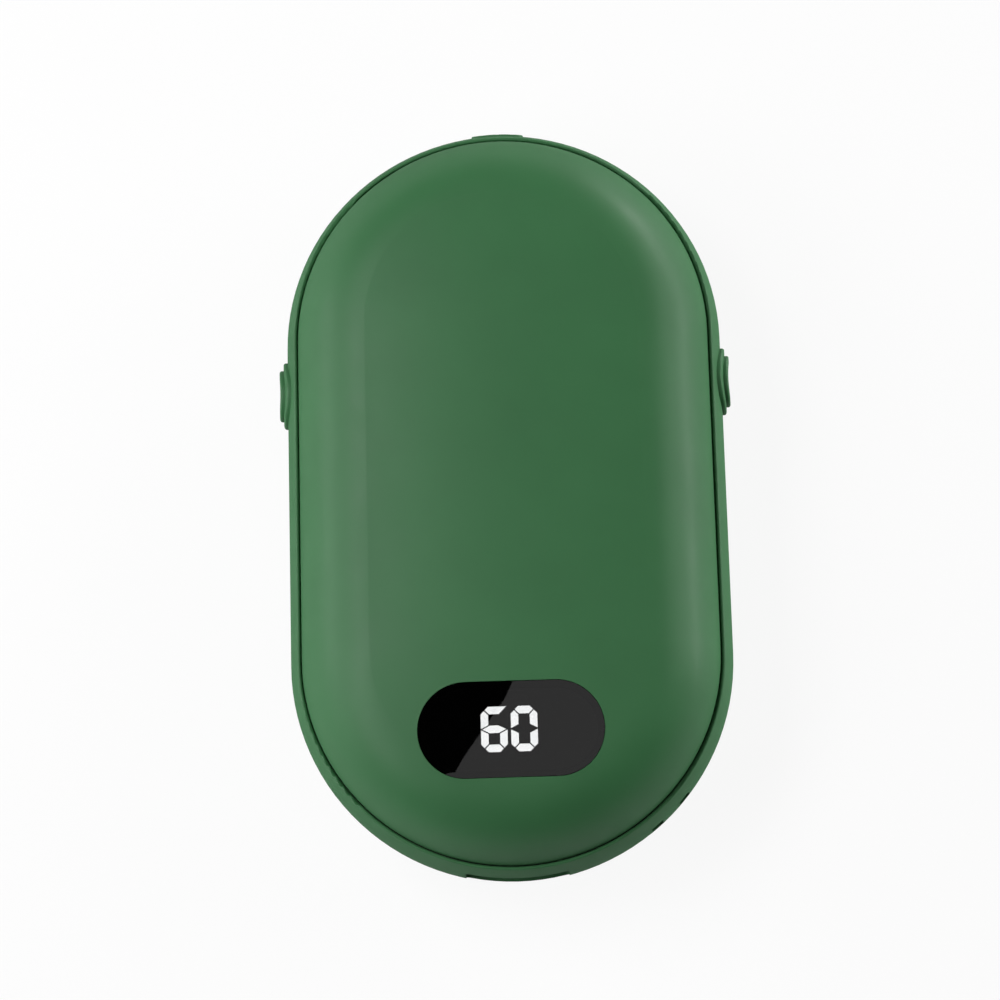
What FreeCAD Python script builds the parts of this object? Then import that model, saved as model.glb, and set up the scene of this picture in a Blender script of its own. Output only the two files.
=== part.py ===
import FreeCAD, Part
import math
import os
from collections import namedtuple

# Rechargeable hand warmer, millimetres. It lies on its back: +Z points out of the display,
# +Y to the power button, +X to the right seen from the front. The origin is the middle of
# the flat resting patch on the back cover. Heights are measured from the middle plane.

# Casing
body_length = 111.4
body_width = 64.0
rim_height = 9.6
dome_rise = 10.4
crown_radius = 150.0
dome_edge_radius = 12.5
rest_flat_depth = 0.25
cover_wall = 2.0
seam_inset = 2.0
seam_gap = 0.15
lip_round = 0.3
skirt_length = 1.0
seal_thickness = 0.4
seal_side_gap = 0.06
frame_wall = 2.4
ledge_depth = 2.2
ledge_thickness = 0.9
weld = 0.4

# Display window and digits
window_width = 26.1
window_height = 13.3
window_end_reach = 20.0
window_thickness = 1.2
window_side_gap = 0.08
adhesive_thickness = 0.15
window_ledge = 1.0
mask_side_gap = 0.15
mask_top_gap = 0.15
digit_width = 3.7
digit_height = 6.3
digit_pitch = 4.2
digit_shift = -0.26
digit_rise = 0.15
segment_stroke = 1.05
segment_gap = 0.17
led_length = 1.0
led_width = 0.5
led_height = 0.4
led_gap = 0.2
display_board_margin = 0.3
display_board_thickness = 1.0
display_lift = 5.6
post_radius = 1.2
post_inset = 1.6
header_pins = 6
header_pitch = 1.27
header_pin = 0.5

# Buttons and switches
side_button_y = 16.9
side_cap_width = 7.7
side_cap_height = 5.5
side_boss_width = 10.0
side_boss_height = 7.5
boss_step = 0.6
cap_step = 0.6
boss_round = 0.35
cap_round = 0.3
dish_width = 5.5
dish_depth = 0.25
power_pad_width = 7.7
power_pad_height = 6.4
power_pad_corner = 1.2
power_pad_step = 0.25
power_cap_width = 6.0
power_cap_height = 3.4
power_cap_step = 0.15
power_round = 0.15
notch_width = 0.5
notch_depth = 0.2
button_travel = 0.4
cap_gap = 0.1
flange_gap = 0.12
flange_thickness = 0.8
flange_reach = 0.55
pocket_gap = 0.2
plunger_radius = 1.0
plunger_engagement = 0.5
plunger_gap = 0.06
plunger_end_gap = 0.3
switch_gap = 0.4
switch_width = 6.0
switch_height = 3.5
switch_depth = 3.0
switch_board_height = 5.0
switch_board_thickness = 1.0
slot_depth = 0.6
slot_gap = 0.05
holder_rib = 1.4
holder_tail = 0.8

# Charging port and main board
recess_width = 14.8
recess_height = 5.2
recess_depth = 1.9
recess_corner = 0.6
bezel_side_gap = 0.1
bezel_thickness = 0.3
port_width = 8.94
port_height = 3.26
port_depth = 7.35
port_shell = 0.3
port_hole_gap = 0.2
tongue_width = 6.69
tongue_thickness = 0.7
tongue_setback = 1.5
ear_reach = 1.5
ear_length = 1.6
ear_thickness = 0.3
board_thickness = 1.2
board_top = -1.0
board_wall_gap = 1.4
board_above_window = 3.85
board_nose_half = 6.5
board_nose_gap = 0.2
port_notch_gap = 0.15

# Lanyard tunnel
lanyard_angle = -45.8
lanyard_spread = 2.75
lanyard_slot_width = 2.2
lanyard_slot_height = 3.0
lanyard_slot_rise = 0.5
lanyard_slot_round = 0.5
lanyard_wall = 1.4
lanyard_block_width = 12.0

# Screws and the lugs that take them
screw_radius = 0.8
screw_length = 3.2
screw_head_radius = 1.5
screw_head_height = 1.0
screw_gap = 0.03
screw_slot_width = 0.4
screw_slot_depth = 0.4
lug_width = 5.0
lug_floor = 0.4
carrier_lug_y = -6.0
carrier_lug_angle = 55.0
carrier_screw_inset = 2.6
board_lug_angle = -20.0
board_screw_inset = 4.4
tab_wall_gap = 1.2
tab_root = 3.0

# Battery pack
carrier_thickness = 1.2
carrier_margin = 0.5
cell_side_gap = 3.1
cell_corner_gap = 2.2
cell_roof_gap = 0.8
cell_round = 3.0
pack_gap = 6.0
tab_length = 1.0
tab_width = 3.0
tab_thickness = 0.2
tab_spacing = 12.0
protection_width = 26.0
protection_height = 11.0
protection_thickness = 0.8
protection_chip_size = 4.0
protection_chip_x = 8.0
foam_half_width = 8.0
foam_end_gap = 14.0
foam_top_gap = 0.2

# Heaters
plate_margin = 0.6
plate_gap = 0.15
plate_thickness = 0.8
plate_window_gap = 8.0
film_gap = 0.1
film_thickness = 0.25
film_margin = 1.0
bead_length = 3.0
bead_width = 2.0
bead_height = 1.0
bead_gap = 0.15
bead_end_reach = 9.4

# Electronic parts on the boards
chip_size = 4.0
chip_height = 0.9
inductor_size = 5.0
inductor_height = 3.0
capacitor_length = 1.6
capacitor_width = 0.8
capacitor_pitch = 1.4
capacitor_count = 3
part_gap = 0.8
connector_width = 4.0
connector_depth = 4.0
connector_height = 3.4
connector_edge_gap = 0.5
heater_column_share = 0.25
switch_column_share = 0.45
outer_column_share = 0.65

# Internal leads
lead_radius = 0.4
lead_spacing = 1.0
lead_film_gap = 0.5
lead_film_start = 6.0
lead_drop = 2.2
lead_side_gap = 1.6
lead_exit = 1.9
lead_ledge_gap = 1.6
battery_lead_height = 2.5
side_lane_height = 1.9
power_lane_height = 3.9
power_lead_x = 2.0
power_lead_angles = (122, 141, 160)
arc_share = 0.45

# Sizes worked out from those above
end_radius = body_width / 2
straight_half = body_length / 2 - end_radius
seam_height = rim_height / 2
crown_height = seam_height + dome_rise
mid_z = crown_height - rest_flat_depth
seam_radius = end_radius - seam_inset
lip_radius = seam_radius + seam_gap
shelf_height = seam_height - skirt_length - seal_thickness
wall_radius = end_radius - frame_wall
ledge_radius = wall_radius - ledge_depth

# The rim bulges out between its two lips, whose rounds meet the bulge without a kink
lip_centre_r = lip_radius + lip_round
lip_centre_h = seam_height - lip_round
lip_inset = end_radius - lip_centre_r
rim_bulge_radius = lip_inset ** 2 + lip_centre_h ** 2 - lip_round ** 2
rim_bulge_radius = rim_bulge_radius / (2 * (lip_inset - lip_round))
rim_centre_r = end_radius - rim_bulge_radius
lip_turn = math.atan2(lip_centre_h, lip_centre_r - rim_centre_r)

# The edge arc of the dome runs through the seam and meets the crown arc without a kink
crown_h = crown_height - crown_radius
edge_centre_reach = crown_radius - dome_edge_radius
seam_reach = math.hypot(seam_radius, seam_height - crown_h)
seam_angle = math.atan2(seam_radius, seam_height - crown_h)
edge_cosine = (edge_centre_reach ** 2 + seam_reach ** 2 - dome_edge_radius ** 2)
edge_cosine = edge_cosine / (2 * edge_centre_reach * seam_reach)
tangent_angle = seam_angle - math.acos(edge_cosine)
edge_r = edge_centre_reach * math.sin(tangent_angle)
edge_h = crown_h + edge_centre_reach * math.cos(tangent_angle)
draft = math.atan2(seam_height - edge_h, seam_radius - edge_r)

window_y = window_end_reach - body_length / 2
hole_width = window_width - 2 * window_ledge
hole_height = window_height - 2 * window_ledge
mask_width = hole_width - 2 * mask_side_gap
mask_height = hole_height - 2 * mask_side_gap
display_board_width = mask_width + 2 * display_board_margin
display_board_height = mask_height + 2 * display_board_margin
display_board_top = display_lift + display_board_thickness

board_radius = ledge_radius - board_wall_gap
board_top_y = window_y + window_height / 2 + board_above_window
board_bottom = board_top - board_thickness
board_nose_y = -straight_half - math.sqrt(wall_radius ** 2 - board_nose_half ** 2) + board_nose_gap
recess_floor_y = recess_depth - body_length / 2
port_back_y = recess_floor_y + port_depth
connector_y = board_top_y - connector_edge_gap

flange_x = -frame_wall - flange_gap - flange_thickness
switch_x = flange_x - button_travel - switch_gap
switch_board_x = switch_x - switch_depth
holder_x = switch_board_x - switch_board_thickness - holder_tail

cell_half_width = end_radius + holder_x - cell_side_gap
cell_corner_radius = ledge_radius - cell_corner_gap
cell_top_y = straight_half + math.sqrt(cell_corner_radius ** 2 - cell_half_width ** 2)
cell_bottom_y = board_top_y + pack_gap
protection_y = cell_bottom_y - tab_length - protection_thickness
plate_radius = (crown_radius - cover_wall - plate_gap) * math.sin(tangent_angle) - plate_margin
front_spine_low = window_y + window_height / 2 + plate_window_gap + plate_radius
film_depth = cover_wall + plate_gap + plate_thickness + film_gap
film_inside = film_depth + film_thickness
film_radius = plate_radius - film_margin
bead_overrun = plate_radius - bead_end_reach

V = FreeCAD.Vector
UP = V(0, 0, 1)
ORIGIN = V(0, 0, 0)


# General shapes

def box(x_low, x_high, y_low, y_high, h_low, h_high):
    return Part.makeBox(x_high - x_low, y_high - y_low, h_high - h_low, V(x_low, y_low, h_low))


def cylinder(radius, x, y, h_low, h_high):
    return Part.makeCylinder(radius, h_high - h_low, V(x, y, h_low))


def polygon_prism(points, h_low, h_high):
    corners = [V(x, y, h_low) for x, y in points]
    wire = Part.makePolygon(corners + corners[:1])
    return Part.Face(wire).extrude(V(0, 0, h_high - h_low))


def pill_prism(width, height, x, y, h_low, h_high):
    """A prism with a round-ended outline, wide along X."""
    radius = height / 2
    half = width / 2 - radius
    low_left = V(x - half, y - radius, h_low)
    low_right = V(x + half, y - radius, h_low)
    high_left = V(x - half, y + radius, h_low)
    high_right = V(x + half, y + radius, h_low)
    edges = [
        Part.LineSegment(low_left, low_right).toShape(),
        Part.Arc(low_right, V(x + half + radius, y, h_low), high_right).toShape(),
        Part.LineSegment(high_right, high_left).toShape(),
        Part.Arc(high_left, V(x - half - radius, y, h_low), low_left).toShape(),
    ]
    return Part.Face(Part.Wire(edges)).extrude(V(0, 0, h_high - h_low))


def pill_along_x(width, height, x_low, x_high):
    """A round-ended prism along X, wide along Y and centred on the X axis."""
    prism = pill_prism(width, height, 0, 0, x_low, x_high)
    prism.Placement = FreeCAD.Placement(ORIGIN, FreeCAD.Rotation(V(1, 1, 1), 120))
    return prism


def oval_along_x(width, height, x_low, x_high):
    """An oval prism of four arcs along X, wide along Y and centred on the X axis."""
    half_w = width / 2
    half_h = height / 2
    end_arc = half_h ** 2 / half_w
    side_arc = (half_w - end_arc) ** 2 + half_h ** 2 - end_arc ** 2
    side_arc = side_arc / (2 * (half_h - end_arc))
    share = end_arc / (side_arc - end_arc)
    y = (half_w - end_arc) * (1 + share)
    h = (side_arc - half_h) * share
    joints = [V(x_low, y, -h), V(x_low, y, h), V(x_low, -y, h), V(x_low, -y, -h)]
    tops = [V(x_low, half_w, 0), V(x_low, 0, half_h), V(x_low, -half_w, 0), V(x_low, 0, -half_h)]
    ends = joints[1:] + joints[:1]
    arcs = [Part.Arc(*points).toShape() for points in zip(joints, tops, ends)]
    return Part.Face(Part.Wire(arcs)).extrude(V(x_high - x_low, 0, 0))


def block_along_x(width, height, corner, x_low, x_high):
    """A block along X with four rounded corners, wide along Y and centred on the X axis."""
    block = box(x_low, x_high, -width / 2, width / 2, -height / 2, height / 2)
    along = [e for e in block.Edges if abs(e.Vertexes[0].X - e.Vertexes[1].X) > 1e-6]
    return block.makeFillet(corner, along)


def joined(shapes):
    return shapes[0].fuse(shapes[1:]).removeSplitter()


def on_front(shape):
    return shape.translated(V(0, 0, mid_z))


def on_back(shape):
    return shape.mirror(ORIGIN, UP).translated(V(0, 0, mid_z))


def section_line(*points):
    """Straight edges through points given as distance from the spine and height."""
    corners = [V(r, 0, h) for r, h in points]
    return [Part.LineSegment(a, b).toShape() for a, b in zip(corners, corners[1:])]


def section_arc(centre, radius, start, end):
    """An arc of a section, between two angles up from the outward direction."""
    angles = (start, (start + end) / 2, end)
    points = [V(centre[0] + radius * math.cos(a), 0, centre[1] + radius * math.sin(a)) for a in angles]
    return Part.Arc(*points).toShape()


def stadium(outline, y_low=-straight_half, y_high=straight_half):
    """Carry a half section round a stadium whose spine runs from y_low to y_high."""
    face = Part.Face(Part.Wire(outline))
    low_face = face.translated(V(0, y_low, 0))
    high_face = face.translated(V(0, y_high, 0))
    right = low_face.extrude(V(0, y_high - y_low, 0))
    left = right.mirror(ORIGIN, V(1, 0, 0))
    top = high_face.revolve(V(0, y_high, 0), UP, 180)
    bottom = low_face.revolve(V(0, y_low, 0), UP, -180)
    return joined([right, left, top, bottom])


def placed(shape, angle, x, y):
    """Turn a shape drawn along +X about the upright axis, then move it to x, y."""
    turned = shape.copy()
    turned.rotate(ORIGIN, UP, angle)
    return turned.translated(V(x, y, 0))


# Domes and covers

def dome_arcs(depth):
    """Crown and edge arcs of the dome, a given depth under its outer face."""
    turn = math.pi / 2 - tangent_angle
    crown = section_arc((0, crown_h), crown_radius - depth, math.pi / 2, turn)
    edge = section_arc((edge_r, edge_h), dome_edge_radius - depth, turn, draft)
    return [crown, edge]


def dome_foot(depth):
    reach = dome_edge_radius - depth
    return edge_r + reach * math.cos(draft), edge_h + reach * math.sin(draft)


def dome_height(depth, r):
    """Height of the dome at a distance from the spine, a given depth under its outer face."""
    if r < (crown_radius - depth) * math.sin(tangent_angle):
        return crown_h + math.sqrt((crown_radius - depth) ** 2 - r ** 2)
    return edge_h + math.sqrt((dome_edge_radius - depth) ** 2 - (r - edge_r) ** 2)


def filled_dome(depth):
    foot_r, foot_h = dome_foot(depth)
    sides = section_line((foot_r, foot_h), (foot_r, 0), (0, 0), (0, crown_height - depth))
    return stadium(dome_arcs(depth) + sides)


def cover_shell():
    foot = seam_height - skirt_length
    inner_r, inner_h = dome_foot(cover_wall)
    skirt = section_line((seam_radius, seam_height), (seam_radius, foot), (inner_r, foot), (inner_r, inner_h))
    inside = dome_arcs(cover_wall)[::-1]
    middle = section_line((0, crown_height - cover_wall), (0, crown_height))
    return stadium(dome_arcs(0) + skirt + inside + middle)


def window_prism(width, height, grow=0.0):
    return pill_prism(width + 2 * grow, height + 2 * grow, 0, window_y, 0, crown_height + grow)


def front_cover():
    recess_dome = filled_dome(window_thickness + adhesive_thickness)
    recess = window_prism(window_width, window_height, window_side_gap).cut(recess_dome)
    return on_front(cover_shell().cut([recess, window_prism(hole_width, hole_height)]))


def back_cover():
    below = box(-body_width, body_width, -body_length, body_length, -dome_rise, 0)
    return on_back(cover_shell()).cut(below)


def seal_ring():
    """A flat ring under the cover's skirt that closes the foot of the seam."""
    low_r = dome_foot(cover_wall)[0]
    high_r = lip_radius - seal_side_gap
    foot = seam_height - skirt_length
    corners = [(low_r, shelf_height), (high_r, shelf_height), (high_r, foot), (low_r, foot)]
    return stadium(section_line(*corners, corners[0]))


# Display

def display_window():
    lens = window_prism(window_width, window_height).common(filled_dome(0))
    return on_front(lens.cut(filled_dome(window_thickness)))


def window_adhesive():
    ring = window_prism(window_width, window_height).cut(window_prism(hole_width, hole_height))
    layer = ring.common(filled_dome(window_thickness))
    return on_front(layer.cut(filled_dome(window_thickness + adhesive_thickness)))


def segment_outlines():
    """The bars of one digit, keyed by their usual letters, with A a top bar pointed at its right."""
    half_w = digit_width / 2
    half_h = digit_height / 2
    stroke = segment_stroke
    mitre = segment_gap / math.sqrt(2)
    tip = (stroke + mitre) / 2
    slant = segment_gap * math.sqrt(5) / 4
    top_right = [
        (half_w - stroke, half_h),
        (half_w - tip, half_h - stroke + tip),
        (half_w - stroke - mitre, half_h - stroke),
    ]
    upper_right = [
        (half_w - stroke + tip, half_h - tip),
        (half_w, half_h - stroke),
        (half_w, slant),
        (half_w - stroke, stroke / 2 + slant),
        (half_w - stroke, half_h - stroke - mitre),
    ]
    middle_right = [(half_w - stroke - 2 * slant, stroke / 2), (half_w - 2 * slant, 0)]
    middle_right.append((half_w - stroke - 2 * slant, -stroke / 2))
    top_left = [(-x, y) for x, y in reversed(top_right)]
    top = top_right + top_left
    pointed = [(half_w - mitre, half_h), top_right[-1]]
    middle = middle_right + [(-x, y) for x, y in reversed(middle_right)]
    return {
        "A": pointed + top_left,
        "a": top,
        "b": upper_right,
        "c": [(x, -y) for x, y in upper_right],
        "d": [(x, -y) for x, y in top],
        "e": [(-x, -y) for x, y in upper_right],
        "f": [(-x, y) for x, y in upper_right],
        "g": middle,
    }


def digit_bars(letters_of_each):
    """Outlines of the named bars of the left and the right digit, in place."""
    outlines = segment_outlines()
    bars = []
    for side, letters in zip((-1, 1), letters_of_each):
        centre_x = digit_shift + side * digit_pitch / 2
        for letter in letters:
            bars.append([(centre_x + x, window_y + digit_rise + y) for x, y in outlines[letter]])
    return bars


lit_letters = ("Acdefg", "abcdef")
unlit_letters = ("b", "g")
all_letters = ("Abcdefg", "abcdefg")
guide_base = display_board_top + led_height + led_gap


def light_guides(letters_of_each):
    roof = filled_dome(window_thickness + mask_top_gap)
    prisms = [polygon_prism(bar, guide_base, crown_height) for bar in digit_bars(letters_of_each)]
    return on_front(Part.makeCompound([prism.common(roof) for prism in prisms]))


def display_mask():
    block = pill_prism(mask_width, mask_height, 0, window_y, display_board_top, crown_height)
    bars = [polygon_prism(bar, 0, crown_height) for bar in digit_bars(all_letters)]
    return on_front(block.common(filled_dome(window_thickness + mask_top_gap)).cut(bars))


def display_leds():
    chips = []
    for bar in digit_bars(all_letters):
        xs = [x for x, y in bar]
        ys = [y for x, y in bar]
        x = (min(xs) + max(xs)) / 2
        y = (min(ys) + max(ys)) / 2
        upright = max(ys) - min(ys) > max(xs) - min(xs)
        half_x, half_y = (led_width / 2, led_length / 2) if upright else (led_length / 2, led_width / 2)
        top = display_board_top + led_height
        chips.append(box(x - half_x, x + half_x, y - half_y, y + half_y, display_board_top, top))
    return on_front(Part.makeCompound(chips))


def display_board():
    half_w = display_board_width / 2
    half_h = display_board_height / 2
    y_range = (window_y - half_h, window_y + half_h)
    return on_front(box(-half_w, half_w, *y_range, display_lift, display_board_top))


def display_posts():
    posts = []
    for x in (post_inset - display_board_width / 2, display_board_width / 2 - post_inset):
        for y in (-display_board_height / 2 + post_inset, display_board_height / 2 - post_inset):
            posts.append(cylinder(post_radius, x, window_y + y, board_top, display_lift))
    return on_front(Part.makeCompound(posts))


def display_header():
    pins = []
    half = header_pin / 2
    for i in range(header_pins):
        x = (i - (header_pins - 1) / 2) * header_pitch
        pins.append(box(x - half, x + half, window_y - half, window_y + half, board_top, display_lift))
    return on_front(Part.makeCompound(pins))


# Buttons, each drawn along +X with the outer face of the wall at zero

Station = namedtuple("Station", "name angle x y cap_width cap_height outline")
stations = [
    Station("left", 180, -end_radius, side_button_y, side_cap_width, side_cap_height, oval_along_x),
    Station("right", 0, end_radius, side_button_y, side_cap_width, side_cap_height, oval_along_x),
    Station("power", 90, 0, body_length / 2, power_cap_width, power_cap_height, pill_along_x),
]


def at_station(shape, station):
    return placed(shape, station.angle, station.x, station.y)


def pocket_half(station):
    return station.cap_width / 2 + flange_reach + pocket_gap


def bulge_section(grow):
    """Section of the rim from its middle to its bulging face, grown outward by an amount."""
    reach = rim_bulge_radius + grow
    r = rim_centre_r + reach * math.cos(lip_turn)
    h = reach * math.sin(lip_turn)
    bulge = section_arc((rim_centre_r, 0), reach, -lip_turn, lip_turn)
    return Part.Face(Part.Wire([bulge] + section_line((r, h), (0, h), (0, -h), (r, -h))))


def side_bulge(grow):
    start = V(-end_radius, -side_boss_width, 0)
    return bulge_section(grow).translated(start).extrude(V(0, 2 * side_boss_width, 0))


def end_bulge(grow):
    section = bulge_section(grow)
    section.rotate(ORIGIN, UP, -90)
    return section.revolve(ORIGIN, UP, 180).translated(V(-end_radius, 0, 0))


def round_outer_face(shape, radius):
    face = max(shape.Faces, key=lambda f: f.CenterOfMass.x)
    return shape.makeFillet(radius, face.Edges)


def button_boss():
    """A low boss whose face keeps the same step above the bulging side wall."""
    boss = oval_along_x(side_boss_width, side_boss_height, -frame_wall / 2, boss_step + weld)
    return round_outer_face(boss.common(side_bulge(boss_step)), boss_round)


def across_notch(face):
    """A shallow groove across the pad and the power button, cut from a given face."""
    half = notch_width / 2
    return box(face - notch_depth, end_radius, -half, half, -power_pad_height, power_pad_height)


def power_pad():
    """A low pad whose face keeps the same step above the round end wall."""
    size = (power_pad_width, power_pad_height, power_pad_corner)
    pad = block_along_x(*size, -frame_wall / 2, power_pad_step + weld)
    pad = round_outer_face(pad.common(end_bulge(power_pad_step)), power_round)
    return pad.cut(across_notch(power_pad_step))


def holder_ribs(station):
    """Two ribs that hold the edges of the switch board in open-topped slots."""
    inner = pocket_half(station)
    half_h = switch_board_height / 2
    slot_x = (switch_board_x - switch_board_thickness - slot_gap, switch_board_x + slot_gap)
    ribs = []
    for side in (-1, 1):
        y_range = sorted((side * inner, side * (inner + holder_rib)))
        slot_y = sorted((side * (inner - slot_depth), side * (inner + slot_depth)))
        rib = box(holder_x, weld - frame_wall, *y_range, -half_h - slot_depth, half_h)
        ribs.append(rib.cut(box(*slot_x, *slot_y, -half_h, half_h)))
    return ribs


def station_additions(station):
    raised = power_pad() if station.name == "power" else button_boss()
    return [at_station(shape, station) for shape in holder_ribs(station) + [raised]]


def station_cuts(station):
    width = station.cap_width + 2 * cap_gap
    height = station.cap_height + 2 * cap_gap
    hole = station.outline(width, height, holder_x, boss_step + cap_step)
    half_y = pocket_half(station)
    half_h = station.cap_height / 2 + pocket_gap
    pocket = box(holder_x, -frame_wall, -half_y, half_y, -half_h, half_h)
    return [at_station(shape, station) for shape in (hole, pocket)]


def button_flange(station):
    """A plate behind the wall that reaches past both ends of the cap."""
    width = station.cap_width + 2 * flange_reach
    return pill_along_x(width, station.cap_height, flange_x, flange_x + flange_thickness)


def side_button(station):
    face = boss_step + cap_step
    stem = station.outline(station.cap_width, station.cap_height, flange_x, face + weld)
    stem = round_outer_face(stem.common(side_bulge(face)), cap_round)
    dish_radius = (dish_width ** 2 / 4 + dish_depth ** 2) / (2 * dish_depth)
    dish_x = face - dish_depth + dish_radius
    dish = cylinder(dish_radius, dish_x, 0, -station.cap_height, station.cap_height)
    return joined([stem.cut(dish), button_flange(station)])


def power_button(station):
    """A cap that follows the round end wall, with a notch across its middle."""
    face = power_pad_step + power_cap_step
    stem = station.outline(station.cap_width, station.cap_height, flange_x, face + weld)
    stem = round_outer_face(stem.common(end_bulge(face)), power_round)
    return joined([stem.cut(across_notch(face)), button_flange(station)])


def switch_plunger():
    length = flange_x - switch_x + plunger_engagement
    return Part.makeCylinder(plunger_radius, length, V(flange_x, 0, 0), V(-1, 0, 0))


def switch_body():
    half_y = switch_width / 2
    half_h = switch_height / 2
    body = box(switch_board_x, switch_x, -half_y, half_y, -half_h, half_h)
    bore_depth = plunger_engagement + button_travel + plunger_end_gap
    bore = Part.makeCylinder(plunger_radius + plunger_gap, bore_depth, V(switch_x, 0, 0), V(-1, 0, 0))
    return body.cut(bore)


def switch_board(station):
    half_y = pocket_half(station) + slot_depth - slot_gap
    half_h = switch_board_height / 2
    back = switch_board_x - switch_board_thickness
    return box(back, switch_board_x, -half_y, half_y, -half_h, half_h)


# Lugs and screws, each drawn along +X from a point of the spine

Lug = namedtuple("Lug", "angle y screw_r top seat")
carrier_top = carrier_thickness / 2
carrier_screw_r = ledge_radius - carrier_screw_inset
board_screw_r = ledge_radius - board_screw_inset
carrier_lugs = [
    Lug(0, carrier_lug_y, carrier_screw_r, -carrier_top, carrier_top),
    Lug(180, carrier_lug_y, carrier_screw_r, -carrier_top, carrier_top),
    Lug(carrier_lug_angle, straight_half, carrier_screw_r, -carrier_top, carrier_top),
    Lug(180 - carrier_lug_angle, straight_half, carrier_screw_r, -carrier_top, carrier_top),
]
board_lugs = [
    Lug(board_lug_angle, -straight_half, board_screw_r, board_bottom, board_top),
    Lug(180 - board_lug_angle, -straight_half, board_screw_r, board_bottom, board_top),
]


def at_lug(shape, lug):
    return placed(shape, lug.angle, 0, lug.y)


def lug_body(lug):
    half = lug_width / 2
    arm = box(lug.screw_r, wall_radius + weld, -half, half, -shelf_height, lug.top)
    boss = cylinder(half, lug.screw_r, 0, lug.seat - screw_length - lug_floor, lug.top)
    return at_lug(joined([arm, boss]), lug)


def screw_hole(lug):
    hole = cylinder(screw_radius + screw_gap, lug.screw_r, 0, lug.seat - screw_length, lug.seat)
    return at_lug(hole, lug)


def screws(lugs):
    made = []
    for lug in lugs:
        head_top = lug.seat + screw_head_height
        shank = cylinder(screw_radius, lug.screw_r, 0, lug.seat - screw_length, lug.seat)
        head = cylinder(screw_head_radius, lug.screw_r, 0, lug.seat, head_top)
        half = screw_slot_width / 2
        slot_x = (lug.screw_r - screw_head_radius, lug.screw_r + screw_head_radius)
        slot = box(*slot_x, -half, half, head_top - screw_slot_depth, head_top)
        made.append(at_lug(joined([shank, head.cut(slot)]), lug))
    return on_front(Part.makeCompound(made))


# Middle frame

def frame_ring():
    ledge_low = shelf_height - ledge_thickness
    upper = section_line((ledge_radius, shelf_height), (lip_radius, shelf_height), (lip_radius, lip_centre_h))
    upper_lip = section_arc((lip_centre_r, lip_centre_h), lip_round, math.pi, lip_turn)
    bulge = section_arc((rim_centre_r, 0), rim_bulge_radius, lip_turn, -lip_turn)
    lower_lip = section_arc((lip_centre_r, -lip_centre_h), lip_round, -lip_turn, -math.pi)
    lower = section_line((lip_radius, -lip_centre_h), (lip_radius, -shelf_height),
                         (ledge_radius, -shelf_height), (ledge_radius, -ledge_low),
                         (wall_radius, -ledge_low), (wall_radius, ledge_low),
                         (ledge_radius, ledge_low), (ledge_radius, shelf_height))
    return stadium(upper + [upper_lip, bulge, lower_lip] + lower)


def lanyard_block():
    inner = end_radius - lanyard_spread - lanyard_slot_width / 2 - lanyard_wall
    half = lanyard_block_width / 2
    block = box(inner, wall_radius + weld, -half, half, -shelf_height, shelf_height)
    return placed(block, lanyard_angle, 0, -straight_half)


def lanyard_tunnel():
    """A channel bent round an upright axis, so that it meets the rim in two tall slots."""
    half_w = lanyard_slot_width / 2
    low = lanyard_slot_rise - lanyard_slot_height / 2
    high = lanyard_slot_rise + lanyard_slot_height / 2
    outer = cylinder(lanyard_spread + half_w, end_radius, 0, low, high)
    channel = outer.cut(cylinder(lanyard_spread - half_w, end_radius, 0, low, high))
    rims = [e for e in channel.Edges if isinstance(e.Curve, Part.Circle)]
    return placed(channel.makeFillet(lanyard_slot_round, rims), lanyard_angle, 0, -straight_half)


def end_pill(width, height, y_low, y_high):
    """A round-ended prism through the bottom end wall, between two places along Y."""
    return placed(pill_along_x(width, height, -y_high, -y_low), -90, 0, 0)


def recess_block(inset, y_low, y_high):
    """The outline of the charging recess, set in all round, between two places along Y."""
    size = (recess_width - 2 * inset, recess_height - 2 * inset, recess_corner - inset)
    return placed(block_along_x(*size, -y_high, -y_low), -90, 0, 0)


def middle_frame():
    recess = recess_block(0, -body_length, recess_floor_y)
    hole_width_here = port_width + 2 * port_hole_gap
    hole_height_here = port_height + 2 * port_hole_gap
    hole = end_pill(hole_width_here, hole_height_here, -body_length, port_back_y)
    additions = [lug_body(lug) for lug in carrier_lugs + board_lugs] + [lanyard_block()]
    cuts = [recess, hole, lanyard_tunnel()]
    cuts += [screw_hole(lug) for lug in carrier_lugs + board_lugs]
    for station in stations:
        additions += station_additions(station)
        cuts += station_cuts(station)
    return on_front(joined([frame_ring()] + additions).cut(cuts).removeSplitter())


# Charging port

def port_bezel():
    plate = recess_block(bezel_side_gap, recess_floor_y - bezel_thickness, recess_floor_y)
    hole_size = (port_width + 2 * port_hole_gap, port_height + 2 * port_hole_gap)
    return on_front(plate.cut(end_pill(*hole_size, -body_length, 0)))


def usb_shell():
    tube = end_pill(port_width, port_height, recess_floor_y, port_back_y)
    mouth_size = (port_width - 2 * port_shell, port_height - 2 * port_shell)
    tube = tube.cut(end_pill(*mouth_size, -body_length, port_back_y - port_shell))
    outer = port_width / 2 + ear_reach
    ears = []
    for side in (-1, 1):
        x_range = sorted((side * (port_width / 2 - port_shell), side * outer))
        y_high = port_back_y - port_shell
        ears.append(box(*x_range, y_high - ear_length, y_high, board_top, board_top + ear_thickness))
    cavity = end_pill(*mouth_size, -body_length, port_back_y - port_shell)
    return on_front(joined([tube] + [ear.cut(cavity) for ear in ears]))


def usb_tongue():
    half_w = tongue_width / 2
    half_t = tongue_thickness / 2
    y_range = (recess_floor_y + tongue_setback, port_back_y - port_shell)
    return on_front(box(-half_w, half_w, *y_range, -half_t, half_t))


# Main board and its parts

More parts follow.
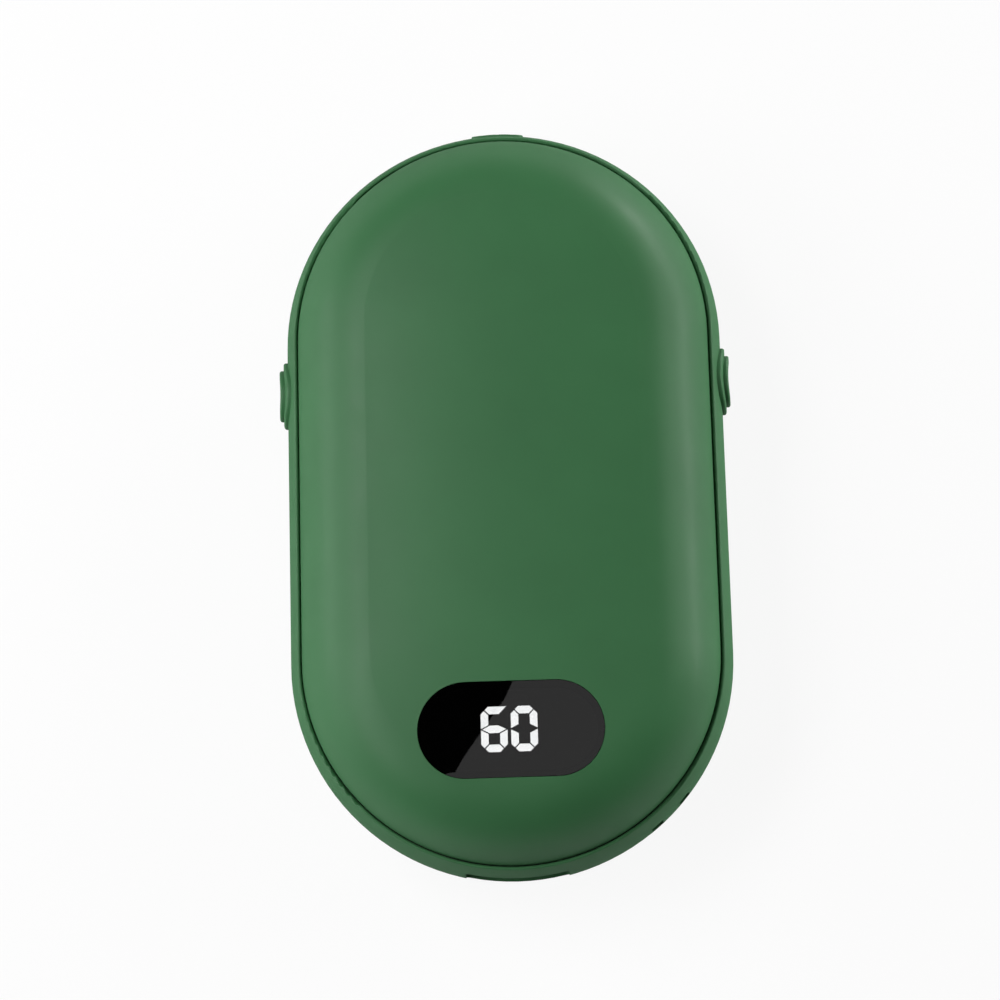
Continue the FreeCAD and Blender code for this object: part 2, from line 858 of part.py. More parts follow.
def main_board():
    disc = cylinder(board_radius, 0, -straight_half, board_bottom, board_top)
    heights = (board_bottom, board_top)
    keep = box(-body_width, body_width, -body_length, board_top_y, *heights)
    nose = box(-board_nose_half, board_nose_half, board_nose_y, window_y, *heights)
    notch_half = port_width / 2 + port_notch_gap
    notch = box(-notch_half, notch_half, -body_length, port_back_y + port_notch_gap, *heights)
    holes = [screw_hole(lug) for lug in board_lugs]
    return on_front(joined([disc.common(keep), nose]).cut([notch] + holes))


header_side = header_pins * header_pitch / 2 + part_gap / 2
port_parts_y = port_back_y + part_gap + inductor_size / 2


def board_block(x, y, width, depth, height):
    """A block standing on the main board, centred on x, y."""
    return box(x - width / 2, x + width / 2, y - depth / 2, y + depth / 2, board_top, board_top + height)


def controller_chips():
    size = (chip_size, chip_size, chip_height)
    under_display = board_block(-header_side - chip_size / 2, window_y, *size)
    behind_port = board_block((part_gap + chip_size) / 2, port_parts_y, *size)
    return on_front(Part.makeCompound([under_display, behind_port]))


def power_inductor():
    size = (inductor_size, inductor_size, inductor_height)
    return on_front(board_block(-(part_gap + inductor_size) / 2, port_parts_y, *size))


def board_capacitors():
    made = []
    for i in range(capacitor_count):
        x = header_side + capacitor_width / 2 + i * capacitor_pitch
        made.append(board_block(x, window_y, capacitor_width, capacitor_length, capacitor_width))
    return on_front(Part.makeCompound(made))


connector_columns = {
    "battery": 0.0,
    "front_heater": heater_column_share * board_radius,
    "back_heater": -heater_column_share * board_radius,
    "right_switch": switch_column_share * board_radius,
    "power_switch": -switch_column_share * board_radius,
    "left_switch": -outer_column_share * board_radius,
}


def lead_connectors():
    y = connector_y - connector_depth / 2
    size = (connector_width, connector_depth, connector_height)
    columns = connector_columns.values()
    return on_front(Part.makeCompound([board_block(x, y, *size) for x in columns]))


# Battery pack

cell_top = dome_height(cover_wall, cell_corner_radius) - cell_roof_gap


def battery_cell():
    cell = box(-cell_half_width, cell_half_width, cell_bottom_y, cell_top_y, carrier_top, cell_top)
    upright = [e for e in cell.Edges if abs(e.Vertexes[0].Z - e.Vertexes[1].Z) > 1e-6]
    return cell.makeFillet(cell_round, upright)


def battery_carrier():
    half_w = cell_half_width + carrier_margin
    y_range = (cell_bottom_y - carrier_margin, cell_top_y + carrier_margin)
    plates = [box(-half_w, half_w, *y_range, -carrier_top, carrier_top)]
    for lug in carrier_lugs:
        top_edge = (cell_top_y - straight_half) / math.sin(math.radians(carrier_lug_angle))
        edge = cell_half_width if lug.y == carrier_lug_y else top_edge
        half = lug_width / 2
        tab = box(edge - tab_root, wall_radius - tab_wall_gap, -half, half, -carrier_top, carrier_top)
        plates.append(at_lug(tab, lug))
    holes = [screw_hole(lug) for lug in carrier_lugs]
    return on_front(joined(plates).cut(holes))


def cell_tabs():
    half = tab_width / 2
    middle = (carrier_top + cell_top) / 2
    strips = []
    for h in (-middle, middle):
        for x in (-tab_spacing / 2, tab_spacing / 2):
            heights = (h - tab_thickness / 2, h + tab_thickness / 2)
            strips.append(box(x - half, x + half, cell_bottom_y - tab_length, cell_bottom_y, *heights))
    return on_front(Part.makeCompound(strips))


def protection_board():
    half_w = protection_width / 2
    half_h = protection_height / 2
    y_range = (protection_y, protection_y + protection_thickness)
    return on_front(box(-half_w, half_w, *y_range, -half_h, half_h))


def protection_chips():
    half = protection_chip_size / 2
    chips = []
    for x in (-protection_chip_x, protection_chip_x):
        y_range = (protection_y - chip_height, protection_y)
        chips.append(box(x - half, x + half, *y_range, -half, half))
    return on_front(Part.makeCompound(chips))


def foam_pad():
    """A pad between a cell and its heater, set in from both ends of the front heat plate."""
    overrun = plate_radius - foam_end_gap
    top = dome_height(film_inside, math.hypot(foam_half_width, overrun)) - foam_top_gap
    y_range = (front_spine_low - overrun, straight_half + overrun)
    return box(-foam_half_width, foam_half_width, *y_range, cell_top, top)


# Heaters

def dome_layer(depth, thickness, radius, y_low):
    """A sheet that lies under the crown of a cover, a given depth below its outer face."""
    outer = crown_radius - depth
    inner = outer - thickness
    low = math.pi / 2 - math.asin(radius / outer)
    upper_arc = section_arc((0, crown_h), outer, math.pi / 2, low)
    lower_arc = section_arc((0, crown_h), inner, low, math.pi / 2)
    ends = [(size * math.cos(low), crown_h + size * math.sin(low)) for size in (outer, inner)]
    middle = section_line((0, crown_h + inner), (0, crown_h + outer))
    return stadium([upper_arc] + section_line(*ends) + [lower_arc] + middle, y_low)


def heat_plate(y_low):
    return dome_layer(cover_wall + plate_gap, plate_thickness, plate_radius, y_low)


def heater_film(y_low):
    return dome_layer(film_depth, film_thickness, film_radius, y_low)


def bead(reach):
    """A temperature bead under a film whose spine ends a given reach above it."""
    y = front_spine_low - bead_overrun
    far = math.hypot(bead_width / 2, reach + bead_length / 2)
    top = dome_height(film_inside, far) - bead_gap
    half = bead_width / 2
    return box(-half, half, y - bead_length / 2, y + bead_length / 2, top - bead_height, top)


def thermistors():
    return Part.makeCompound([on_front(bead(bead_overrun)), on_back(bead(0))])


# Internal leads

def lead(points):
    """A round lead through points, with corners as wide as the runs beside them allow."""
    route = [V(*point) for point in points]
    edges = []
    start = route[0]
    for before, corner, after in zip(route, route[1:], route[2:]):
        into = (corner - before).normalize()
        out = (after - corner).normalize()
        half_turn = into.getAngle(out) / 2
        trim = arc_share * min((corner - before).Length, (after - corner).Length)
        radius = trim / math.tan(half_turn)
        inward = (out - into).normalize()
        arc_start = corner - into * trim
        arc_end = corner + out * trim
        arc_middle = corner + inward * (radius / math.cos(half_turn) - radius)
        edges.append(Part.LineSegment(start, arc_start).toShape())
        edges.append(Part.Arc(arc_start, arc_middle, arc_end).toShape())
        start = arc_end
    edges.append(Part.LineSegment(start, route[-1]).toShape())
    ring = Part.Wire(Part.makeCircle(lead_radius, route[0], route[1] - route[0]))
    return Part.Wire(edges).makePipeShell([ring], True, False)


def lead_pair(points, offset):
    """Two leads side by side, half the spacing to each side of the route."""
    pair = []
    for side in (-0.5, 0.5):
        shift = [side * lead_spacing * part for part in offset]
        pair.append(lead([tuple(a + b for a, b in zip(point, shift)) for point in points]))
    return on_front(Part.makeCompound(pair))


lead_end = board_top + connector_height / 2
drop_y = protection_y - lead_drop
lane_x = cell_half_width + lead_side_gap
switch_back = switch_board_x - switch_board_thickness


def battery_lead(side):
    x = side * lead_spacing / 2
    third = (protection_y - connector_y) / 3
    return on_front(lead([
        (x, protection_y, battery_lead_height),
        (x, protection_y - third, battery_lead_height),
        (x, connector_y + third, lead_end),
        (x, connector_y, lead_end),
    ]))


def heater_leads(column, face, reach):
    """Leads from a film on the front (face 1) or the back (face -1) to its connector."""
    x = connector_columns[column]
    start_y = front_spine_low - film_radius + lead_film_start
    far = math.hypot(abs(x) + lead_spacing / 2, reach)
    start_h = dome_height(film_inside, far) - lead_film_gap - lead_radius
    return lead_pair([
        (x, start_y, face * start_h),
        (x, drop_y, face * (cell_top + lead_radius)),
        (x, drop_y, lead_end),
        (x, connector_y, lead_end),
    ], (1, 0, 0))


def side_switch_leads(side, column):
    x = connector_columns[column]
    return lead_pair([
        (side * (end_radius + switch_back), side_button_y, side_lane_height),
        (side * lane_x, side_button_y, side_lane_height),
        (side * lane_x, protection_y, side_lane_height),
        (x, drop_y, lead_end),
        (x, connector_y, lead_end),
    ], (0, 0, 1))


def power_switch_leads():
    """Leads round the upper left of the cells and down their left side."""
    start_y = body_length / 2 + switch_back
    x = connector_columns["power_switch"]
    points = [(-power_lead_x, start_y, side_lane_height)]
    points.append((-power_lead_x, start_y - lead_exit, side_lane_height))
    bend_r = ledge_radius - lead_ledge_gap
    for angle in power_lead_angles:
        turn = math.radians(angle)
        place = (bend_r * math.cos(turn), straight_half + bend_r * math.sin(turn))
        points.append((*place, power_lane_height))
    points += [
        (-lane_x, side_button_y, power_lane_height),
        (-lane_x, cell_bottom_y, power_lane_height),
        (x, drop_y, lead_end),
        (x, connector_y, lead_end),
    ]
    return lead_pair(points, (0, 0, 1))


# Write one file for each piece

def build():
    left, right, power = stations
    pieces = {
        "front_cover": front_cover(),
        "back_cover": back_cover(),
        "middle_frame": middle_frame(),
        "front_seal": on_front(seal_ring()),
        "back_seal": on_back(seal_ring()),
        "display_window": display_window(),
        "window_adhesive": window_adhesive(),
        "display_mask": display_mask(),
        "digit_segments_lit": light_guides(lit_letters),
        "digit_segments_unlit": light_guides(unlit_letters),
        "display_leds": display_leds(),
        "display_board": display_board(),
        "display_posts": display_posts(),
        "display_header": display_header(),
        "port_bezel": port_bezel(),
        "usb_shell": usb_shell(),
        "usb_tongue": usb_tongue(),
        "main_board": main_board(),
        "controller_chips": controller_chips(),
        "power_inductor": power_inductor(),
        "board_capacitors": board_capacitors(),
        "lead_connectors": lead_connectors(),
        "board_screws": screws(board_lugs),
        "battery_cell_front": on_front(battery_cell()),
        "battery_cell_back": on_back(battery_cell()),
        "battery_carrier": battery_carrier(),
        "carrier_screws": screws(carrier_lugs),
        "cell_tabs": cell_tabs(),
        "protection_board": protection_board(),
        "protection_chips": protection_chips(),
        "front_foam_pad": on_front(foam_pad()),
        "back_foam_pad": on_back(foam_pad()),
        "front_heat_plate": on_front(heat_plate(front_spine_low)),
        "back_heat_plate": on_back(heat_plate(-straight_half)),
        "front_heater_film": on_front(heater_film(front_spine_low)),
        "back_heater_film": on_back(heater_film(-straight_half)),
        "thermistors": thermistors(),
        "battery_lead_red": battery_lead(1),
        "battery_lead_black": battery_lead(-1),
        "front_heater_leads": heater_leads("front_heater", 1, film_radius - lead_film_start),
        "back_heater_leads": heater_leads("back_heater", -1, 0),
        "left_switch_leads": side_switch_leads(-1, "left_switch"),
        "right_switch_leads": side_switch_leads(1, "right_switch"),
        "power_switch_leads": power_switch_leads(),
        "left_button": on_front(at_station(side_button(left), left)),
        "right_button": on_front(at_station(side_button(right), right)),
        "power_button": on_front(at_station(power_button(power), power)),
    }
    for station in stations:
        pieces[station.name + "_switch_plunger"] = on_front(at_station(switch_plunger(), station))
        pieces[station.name + "_switch_body"] = on_front(at_station(switch_body(), station))
        pieces[station.name + "_switch_board"] = on_front(at_station(switch_board(station), station))
    return pieces


os.makedirs("parts", exist_ok=True)
for node, shape in build().items():
    shape.exportStep(os.path.join("parts", node + ".step"))
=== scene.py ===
import math

import bpy
from mathutils import Matrix, Vector

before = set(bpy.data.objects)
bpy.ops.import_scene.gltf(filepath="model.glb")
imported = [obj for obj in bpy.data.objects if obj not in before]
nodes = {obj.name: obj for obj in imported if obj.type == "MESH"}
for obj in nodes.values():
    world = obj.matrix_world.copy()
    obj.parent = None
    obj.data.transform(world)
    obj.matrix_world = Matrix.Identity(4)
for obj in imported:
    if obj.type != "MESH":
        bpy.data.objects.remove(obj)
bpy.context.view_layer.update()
scene = bpy.context.scene
scene.view_settings.view_transform = "Standard"


# Materials

# Most of a noise texture's values lie between these two
NOISE_LOW, NOISE_HIGH = 0.3, 0.7
# From 0 face on to 1 edge on, where a surface starts to look rougher
SLANT_START = 0.3
# Radians that Blender's wave texture turns in a metre at a scale of one
WAVE_TURN = 20.0
# Texture scales of moulded pieces: the cloudy tone and the change of gloss
CLOUD_SCALE, GLOSS_SCALE = 60.0, 220.0
ROUGHNESS_SPREAD = 0.03


def maths(tree, operation, *values):
    """A Math node's output. Each value is a number or another node's output."""
    node = tree.nodes.new("ShaderNodeMath")
    node.operation = operation
    for value, socket in zip(values, node.inputs):
        if isinstance(value, float):
            socket.default_value = value
        else:
            tree.links.new(value, socket)
    return node.outputs["Value"]


def grey(level):
    return (level, level, level)


def shade(colour, factor):
    return tuple(channel * factor for channel in colour)


class Paint:
    """A procedural material: a Principled shader and short calls that feed its sockets."""

    def __init__(self, name, **sockets):
        self.material = bpy.data.materials.new(name)
        self.material.use_nodes = True
        self.tree = self.material.node_tree
        self.shader = self.tree.nodes["Principled BSDF"]
        for socket, value in sockets.items():
            self.shader.inputs[socket.replace("_", " ")].default_value = value
        self.coords = self.tree.nodes.new("ShaderNodeTexCoord")
        self.where = self.coords.outputs["Object"]
        self.normal = None

    def link(self, source, target):
        self.tree.links.new(source, target)

    def feed(self, socket, source):
        self.link(source, self.shader.inputs[socket])
        return self

    def stretched(self, scale):
        mapping = self.tree.nodes.new("ShaderNodeMapping")
        mapping.inputs["Scale"].default_value = scale
        self.link(self.where, mapping.inputs["Vector"])
        return mapping.outputs["Vector"]

    def noise(self, scale, detail=2.0, rough=0.5, stretch=None):
        node = self.tree.nodes.new("ShaderNodeTexNoise")
        node.inputs["Scale"].default_value = scale
        node.inputs["Detail"].default_value = detail
        node.inputs["Roughness"].default_value = rough
        self.link(self.stretched(stretch) if stretch else self.where, node.inputs["Vector"])
        return node.outputs["Fac"]

    def cells(self, scale, feature="F1"):
        node = self.tree.nodes.new("ShaderNodeTexVoronoi")
        node.feature = feature
        node.inputs["Scale"].default_value = scale
        self.link(self.where, node.inputs["Vector"])
        return node.outputs["Distance"]

    def waves(self, scale, direction="X", profile="SIN"):
        node = self.tree.nodes.new("ShaderNodeTexWave")
        node.bands_direction = direction
        node.wave_profile = profile
        node.inputs["Scale"].default_value = scale
        self.link(self.where, node.inputs["Vector"])
        return node.outputs["Fac"]

    def ranged(self, fac, low, high, start=0.0, end=1.0):
        node = self.tree.nodes.new("ShaderNodeMapRange")
        node.inputs["From Min"].default_value = start
        node.inputs["From Max"].default_value = end
        node.inputs["To Min"].default_value = low
        node.inputs["To Max"].default_value = high
        self.link(fac, node.inputs["Value"])
        return node.outputs["Result"]

    def ramp(self, fac, *stops):
        node = self.tree.nodes.new("ShaderNodeValToRGB")
        line = node.color_ramp.elements
        while len(line) < len(stops):
            line.new(0.5)
        for element, (place, colour) in zip(line, stops):
            element.position = place
            element.color = (*colour, 1.0)
        self.link(fac, node.inputs["Fac"])
        return node.outputs["Color"]

    def blend(self, fac, dark, light):
        """A colour between two that follows a noise texture."""
        return self.ramp(fac, (NOISE_LOW, dark), (NOISE_HIGH, light))

    def colour(self, output):
        return self.feed("Base Color", output)

    def roughness(self, fac, low, high, slant=0.0):
        """Roughness that follows a texture, and rises by slant where the surface is seen edge on."""
        value = self.ranged(fac, low, high, NOISE_LOW, NOISE_HIGH)
        if slant:
            facing = self.tree.nodes.new("ShaderNodeLayerWeight").outputs["Facing"]
            value = maths(self.tree, "ADD", value, self.ranged(facing, 0.0, slant, SLANT_START))
        return self.feed("Roughness", value)

    def bump(self, fac, height, strength=1.0):
        """Relief of a height in metres, on top of any relief given before."""
        node = self.tree.nodes.new("ShaderNodeBump")
        node.inputs["Strength"].default_value = strength
        node.inputs["Distance"].default_value = height
        self.link(fac, node.inputs["Height"])
        if self.normal:
            self.link(self.normal, node.inputs["Normal"])
        self.normal = node.outputs["Normal"]
        return self.feed("Normal", self.normal)


def moulded(name, colour, rough, grain=6000.0, depth=0.000006, vary=0.05, slant=0.0, **sockets):
    """Moulded plastic or rubber: a fine spark-eroded grain and a faint cloudy tone."""
    paint = Paint(name, **sockets)
    cloud = paint.noise(CLOUD_SCALE, 3.0)
    paint.colour(paint.blend(cloud, shade(colour, 1 - vary), shade(colour, 1 + vary)))
    gloss = paint.noise(GLOSS_SCALE, 3.0)
    paint.roughness(gloss, rough - ROUGHNESS_SPREAD, rough + ROUGHNESS_SPREAD, slant)
    return paint.bump(paint.noise(grain, 2.0, 0.6), depth).material


def soft_touch(name, rough):
    """The green of the outer pieces, whose gloss softens where it is seen edge on."""
    return moulded(name, (0.0375, 0.136, 0.0517), rough, slant=0.5, Specular_IOR_Level=0.25)


def matt_black(name, grain):
    """Black that stays dark behind the lens."""
    return moulded(name, grey(0.003), 0.8, grain, Specular_IOR_Level=0.05)


def metal(name, colour, rough, stretch):
    """Plated or rolled metal with fine lines along one direction."""
    paint = Paint(name, Metallic=1.0)
    lines = paint.noise(400.0, 3.0, 0.6, stretch)
    paint.colour(paint.blend(lines, shade(colour, 0.9), shade(colour, 1.06)))
    paint.roughness(lines, rough - 0.06, rough + 0.08)
    return paint.bump(lines, 0.000004, 0.5).material


def lens():
    """Smoked clear plastic."""
    paint = Paint("smoked_lens", IOR=1.5, Transmission_Weight=1.0)
    cloud = paint.noise(40.0)
    paint.colour(paint.blend(cloud, grey(0.04), grey(0.042)))
    paint.roughness(paint.noise(300.0), 0.01, 0.02)
    return paint.bump(cloud, 0.0000005, 0.2).material


def lit_bar():
    """A white bar that glows strongly enough to read as white through the lens."""
    paint = Paint("lit_bar", Roughness=0.5, Emission_Strength=23.0)
    glow = paint.noise(500.0)
    paint.colour(paint.blend(glow, (0.82, 0.83, 0.84), grey(0.9)))
    paint.feed("Emission Color", paint.blend(glow, (0.93, 0.95, 0.96), grey(1.0)))
    return paint.bump(glow, 0.000004, 0.3).material


def circuit_board():
    """Green solder mask over raised copper tracks."""
    paint = Paint("solder_mask")
    edge, field = 0.02, 0.06
    tracks = paint.cells(420.0, "DISTANCE_TO_EDGE")
    paint.colour(paint.ramp(tracks, (edge, (0.06, 0.26, 0.12)), (field, (0.015, 0.11, 0.045))))
    paint.roughness(paint.noise(900.0), 0.3, 0.42)
    return paint.bump(paint.ranged(tracks, 1.0, 0.0, edge, field), 0.00002, 0.6).material


def foil():
    """Pouch laminate: satin aluminium with shallow creases."""
    paint = Paint("pouch_foil", Metallic=0.85)
    grain = paint.noise(1800.0, 3.0)
    paint.colour(paint.blend(grain, (0.62, 0.63, 0.65), (0.74, 0.75, 0.77)))
    paint.roughness(grain, 0.32, 0.44)
    paint.bump(paint.cells(70.0, "SMOOTH_F1"), 0.00018, 0.4)
    return paint.bump(grain, 0.000008, 0.6).material


def heater_foil():
    """Amber film with darker etched lines across it."""
    paint = Paint("heater_film")
    amber, etched = (0.46, 0.2, 0.03), (0.2, 0.09, 0.03)
    track = paint.waves(90.0, "Y", "TRI")
    paint.colour(paint.ramp(track, (0.42, amber), (0.5, etched), (0.58, amber)))
    paint.roughness(paint.noise(700.0), 0.25, 0.38)
    return paint.bump(track, 0.00003, 0.4).material


def foam():
    """Dark open foam with deep pores, whose pits are painted darker as shade."""
    paint = Paint("open_foam")
    pores = paint.cells(1400.0)
    # Painted shade: the colour darkens towards each pore's pit, where the bump sinks deepest.
    paint.colour(paint.ramp(pores, (0.1, (0.03, 0.03, 0.035)), (0.6, (0.13, 0.13, 0.14))))
    paint.roughness(pores, 0.85, 0.98)
    return paint.bump(pores, 0.0003, 0.8).material


def ceramic():
    """The speckled brown of small capacitors."""
    paint = Paint("ceramic")
    speck = paint.noise(5000.0, 3.0)
    paint.colour(paint.ramp(speck, (0.35, (0.36, 0.25, 0.15)), (0.65, (0.5, 0.38, 0.25))))
    paint.roughness(speck, 0.3, 0.42)
    return paint.bump(speck, 0.000006, 0.5).material


def plug_tongue():
    """A black tongue with a row of gilt contacts across its upper and lower faces."""
    paint = Paint("plug_tongue")
    pitch = 0.0005
    gap, contact = 0.45, 0.55
    stripes = paint.waves(math.tau / WAVE_TURN / pitch)
    split = paint.tree.nodes.new("ShaderNodeSeparateXYZ")
    paint.link(paint.coords.outputs["Normal"], split.inputs["Vector"])
    level = maths(paint.tree, "ABSOLUTE", split.outputs["Z"])
    gilt = maths(paint.tree, "MULTIPLY", stripes, level)
    paint.colour(paint.ramp(gilt, (gap, (0.02, 0.02, 0.022)), (contact, (0.75, 0.52, 0.2))))
    paint.feed("Metallic", paint.ranged(gilt, 0.0, 1.0, gap, contact))
    paint.roughness(paint.noise(900.0), 0.3, 0.4)
    return paint.bump(gilt, 0.00003, 0.5).material


looks = {
    "shell": soft_touch("green_soft_touch", 0.45),
    "frame": soft_touch("green_frame", 0.45),
    "button": soft_touch("green_button", 0.43),
    # Near-black rubber seal rings; at the foot of each seam their black also serves as painted shade in
    # the gap.
    "seal": moulded("seal_rubber_seam_shade", (0.006, 0.011, 0.008), 0.7, 3000.0, 0.00001),
    "lens": lens(),
    "lit": lit_bar(),
    "unlit": matt_black("unlit_bar", 4000.0),
    "mask": matt_black("mask_black", 4000.0),
    "tape": matt_black("black_tape", 2500.0),
    "bezel": moulded("bezel_black", (0.006, 0.009, 0.007), 0.6, Specular_IOR_Level=0.15),
    "tongue": plug_tongue(),
    "heat": metal("rolled_aluminium", (0.72, 0.73, 0.74), 0.38, (0.05, 1.0, 1.0)),
    "steel": metal("plated_steel", (0.55, 0.55, 0.57), 0.3, (1.0, 0.05, 1.0)),
    "nickel": metal("nickel_strip", (0.62, 0.6, 0.56), 0.34, (1.0, 0.06, 1.0)),
    "brass": metal("plated_pin", (0.72, 0.53, 0.22), 0.3, (1.0, 1.0, 0.06)),
    "board": circuit_board(),
    "chip": moulded("moulded_epoxy", (0.02, 0.02, 0.023), 0.55, 3000.0, 0.00001, 0.12),
    "ferrite": moulded("ferrite", (0.06, 0.06, 0.065), 0.6, 2500.0, 0.00002, 0.15),
    "nylon": moulded("nylon", (0.72, 0.7, 0.64), 0.5, 3500.0),
    "carrier": moulded("carrier_grey", (0.055, 0.057, 0.06), 0.55, 3500.0, 0.00001, 0.08),
    "red": moulded("red_sleeve", (0.42, 0.012, 0.01), 0.45, 2500.0, vary=0.08),
    "black": moulded("black_sleeve", grey(0.012), 0.45, 2500.0, vary=0.1),
    "white": moulded("white_sleeve", (0.66, 0.66, 0.63), 0.45, 2500.0),
    "foil": foil(),
    "film": heater_foil(),
    "foam": foam(),
    "ceramic": ceramic(),
    "led": moulded("led_resin", (0.75, 0.7, 0.45), 0.25, 4000.0),
}
wearers = {
    "shell": ["front_cover", "back_cover"],
    "frame": ["middle_frame"],
    "button": ["left_button", "right_button", "power_button"],
    "seal": ["front_seal", "back_seal"],
    "lens": ["display_window"],
    "lit": ["digit_segments_lit"],
    "unlit": ["digit_segments_unlit"],
    "mask": ["display_mask"],
    "tape": ["window_adhesive"],
    "bezel": ["port_bezel"],
    "tongue": ["usb_tongue"],
    "heat": ["front_heat_plate", "back_heat_plate"],
    "steel": ["usb_shell", "board_screws", "carrier_screws"],
    "nickel": ["cell_tabs"],
    "brass": ["display_header"],
    "board": ["display_board", "main_board", "protection_board", "power_switch_board",
              "left_switch_board", "right_switch_board"],
    "chip": ["controller_chips", "protection_chips", "thermistors", "power_switch_body",
             "left_switch_body", "right_switch_body"],
    "ferrite": ["power_inductor"],
    "nylon": ["display_posts", "lead_connectors"],
    "carrier": ["battery_carrier", "power_switch_plunger", "left_switch_plunger", "right_switch_plunger"],
    "red": ["battery_lead_red"],
    "black": ["battery_lead_black"],
    "white": ["front_heater_leads", "back_heater_leads", "left_switch_leads", "right_switch_leads",
              "power_switch_leads"],
    "foil": ["battery_cell_front", "battery_cell_back"],
    "film": ["front_heater_film", "back_heater_film"],
    "foam": ["front_foam_pad", "back_foam_pad"],
    "ceramic": ["board_capacitors"],
    "led": ["display_leds"],
}
dress = {name: looks[kind] for kind, names in wearers.items() for name in names}
for name, node in nodes.items():
    node.data.materials.clear()
    node.data.materials.append(dress[name])


# Floor, light and camera

# The part's middle, and the lamps' distance from it, in metres
MIDDLE = Vector((0.0, 0.0, 0.01495))
LAMP_REACH = 0.5
UP = Vector((0.0, 0.0, 1.0))
# How much of the floor and the wall shows as plain white; the rest of the floor keeps the shadow
WHITE_SHARE = 0.9


def seen_rays(tree):
    """One for a ray that shows a surface, straight or by gloss or glass, nought for one that lights it."""
    path = tree.nodes.new("ShaderNodeLightPath")
    seen = path.outputs["Is Camera Ray"]
    for ray in ("Is Glossy Ray", "Is Transmission Ray"):
        seen = maths(tree, "MAXIMUM", seen, path.outputs[ray])
    return seen


def make_floor():
    """A pale floor that shows nearly white and takes a faint shadow."""
    size = 3.0
    corners = [(-size, -size, 0), (size, -size, 0), (size, size, 0), (-size, size, 0)]
    mesh = bpy.data.meshes.new("floor")
    mesh.from_pydata(corners, [], [(0, 1, 2, 3)])
    floor = bpy.data.objects.new("floor", mesh)
    scene.collection.objects.link(floor)
    paint = Paint("pale_floor", Roughness=0.9)
    paint.colour(paint.blend(paint.noise(30.0, 3.0), grey(0.83), grey(0.86)))
    tree = paint.tree
    white = tree.nodes.new("ShaderNodeEmission")
    white.inputs["Strength"].default_value = 1.0
    mix = tree.nodes.new("ShaderNodeMixShader")
    paint.link(maths(tree, "MULTIPLY", seen_rays(tree), WHITE_SHARE), mix.inputs["Fac"])
    paint.link(paint.shader.outputs["BSDF"], mix.inputs[1])
    paint.link(white.outputs["Emission"], mix.inputs[2])
    paint.link(mix.outputs["Shader"], tree.nodes["Material Output"].inputs["Surface"])
    mesh.materials.append(paint.material)


def sky(tree, strength, *stops):
    """A background whose grey changes with height above the horizon."""
    coords = tree.nodes.new("ShaderNodeTexCoord")
    split = tree.nodes.new("ShaderNodeSeparateXYZ")
    tree.links.new(coords.outputs["Generated"], split.inputs["Vector"])
    ramp = tree.nodes.new("ShaderNodeValToRGB")
    for element, (height, level) in zip(ramp.color_ramp.elements, stops):
        element.position = height
        element.color = (*grey(level), 1.0)
    tree.links.new(split.outputs["Z"], ramp.inputs["Fac"])
    back = tree.nodes.new("ShaderNodeBackground")
    back.inputs["Strength"].default_value = strength
    tree.links.new(ramp.outputs["Color"], back.inputs["Color"])
    return back.outputs["Background"]


def make_world():
    """A dim room that lights little, and shows a low wall as white as the floor."""
    world = bpy.data.worlds.new("studio")
    world.use_nodes = True
    tree = world.node_tree
    room = sky(tree, 0.03, (0.0, 0.75), (0.85, 0.01))
    wall = sky(tree, 1.0, (0.1, WHITE_SHARE), (0.2, 0.01))
    mix = tree.nodes.new("ShaderNodeMixShader")
    tree.links.new(seen_rays(tree), mix.inputs["Fac"])
    tree.links.new(room, mix.inputs[1])
    tree.links.new(wall, mix.inputs[2])
    tree.links.new(mix.outputs["Shader"], tree.nodes["World Output"].inputs["Surface"])
    scene.world = world


def placing(place, right, up, back):
    """The matrix of an object at a place, from its own X, Y and Z directions."""
    return Matrix.Translation(place) @ Matrix((right, up, back)).transposed().to_4x4()


def softbox(name, place, along, back, width, length, watts, shows=True):
    """A soft lamp at a place, its length along a direction, that shows in gloss or only lights."""
    lamp = bpy.data.lights.new(name, "AREA")
    lamp.shape = "RECTANGLE"
    lamp.size = width
    lamp.size_y = length
    lamp.energy = watts
    holder = bpy.data.objects.new(name, lamp)
    scene.collection.objects.link(holder)
    side = along.cross(back).normalized()
    holder.matrix_world = placing(place, side, back.cross(side), back)
    holder.visible_camera = False
    holder.visible_glossy = shows


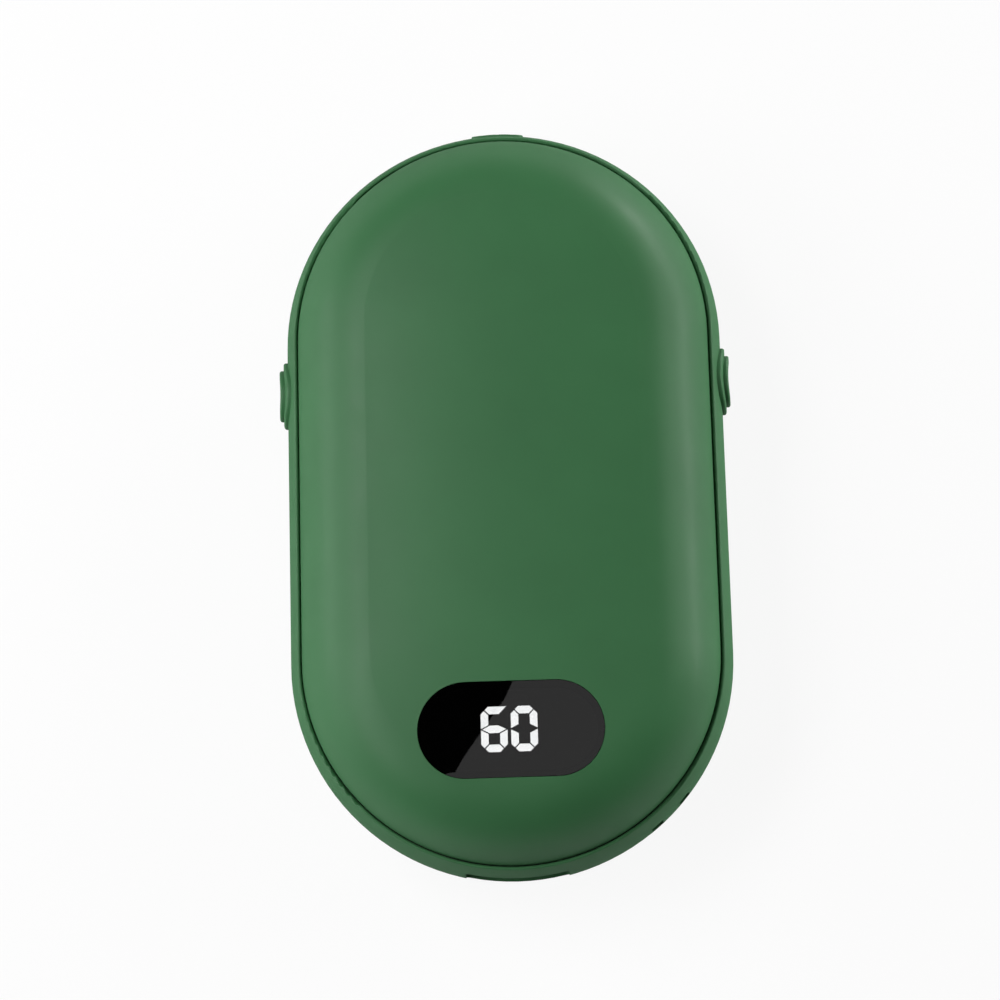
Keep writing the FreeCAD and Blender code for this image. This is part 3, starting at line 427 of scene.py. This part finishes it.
def soft_walls():
    """Strips down both long sides: degrees from overhead, shift along Y, watts, shows in gloss."""
    strips = [
        (-30, 0.12, 1.265, True),
        (-45, -0.12, 0.772, True),
        (-60, 0.12, 0.206, True),
        (-75, 0.12, 0.65, True),
        (-75, -0.12, 0.26, True),
        (60, 0.12, 0.523, True),
        (90, 0.12, 1.3, True),
        (90, 0.12, 1.2, False),
    ]
    width, length = 0.15, 0.26
    along = Vector((0.0, 1.0, 0.0))
    for i, (angle, shift, watts, shows) in enumerate(strips):
        turn = math.radians(angle)
        place = MIDDLE + Vector((LAMP_REACH * math.sin(turn), shift, LAMP_REACH * math.cos(turn)))
        back = (place - MIDDLE).normalized()
        softbox("strip_%d" % i, place, along, back, width, length, watts, shows)


def shoulder_lamp():
    """A low lamp beyond the upper right shoulder, which shows there as a pale patch."""
    polar, azimuth = math.radians(82), math.radians(50)
    width, length, watts = 0.12, 0.2, 1.0
    across = Vector((math.cos(azimuth), math.sin(azimuth), 0.0))
    away = across * math.sin(polar) + UP * math.cos(polar)
    along = UP.cross(across)
    softbox("shoulder_lamp", MIDDLE + away * LAMP_REACH, along, away, width, length, watts)


def overhead_card():
    """A slanted card whose left edge crosses the window's reflection as a diagonal."""
    width, length, watts = 0.35, 0.40, 0.3
    along = Vector((0.0878, 0.1164, 0.0)).normalized()
    side = along.cross(UP)
    edge = Vector((-0.0585, -0.0490, 0.62))
    softbox("overhead_card", edge + side * width / 2, along, UP, width, length, watts)


def make_camera():
    """The photo's viewpoint: a little past the bottom end, with a long lens."""
    tilt, yaw, roll = math.radians(12.5), math.radians(1.508), math.radians(-1.573)
    distance = 0.44123
    right = Vector((math.cos(yaw), 0.0, -math.sin(yaw)))
    up = Vector((math.sin(yaw) * math.sin(tilt), math.cos(tilt), math.cos(yaw) * math.sin(tilt)))
    back = right.cross(up)
    rolled_right = right * math.cos(roll) + up * math.sin(roll)
    rolled_up = up * math.cos(roll) - right * math.sin(roll)
    camera = bpy.data.objects.new("camera", bpy.data.cameras.new("camera"))
    scene.collection.objects.link(camera)
    camera.matrix_world = placing(MIDDLE + back * distance, rolled_right, rolled_up, back)
    camera.data.lens = 108.47
    camera.data.sensor_width = 36.0
    camera.data.shift_x = -0.0075
    camera.data.shift_y = 0.001
    camera.data.clip_start = 0.01
    scene.camera = camera


make_floor()
make_world()
soft_walls()
shoulder_lamp()
overhead_card()
make_camera()
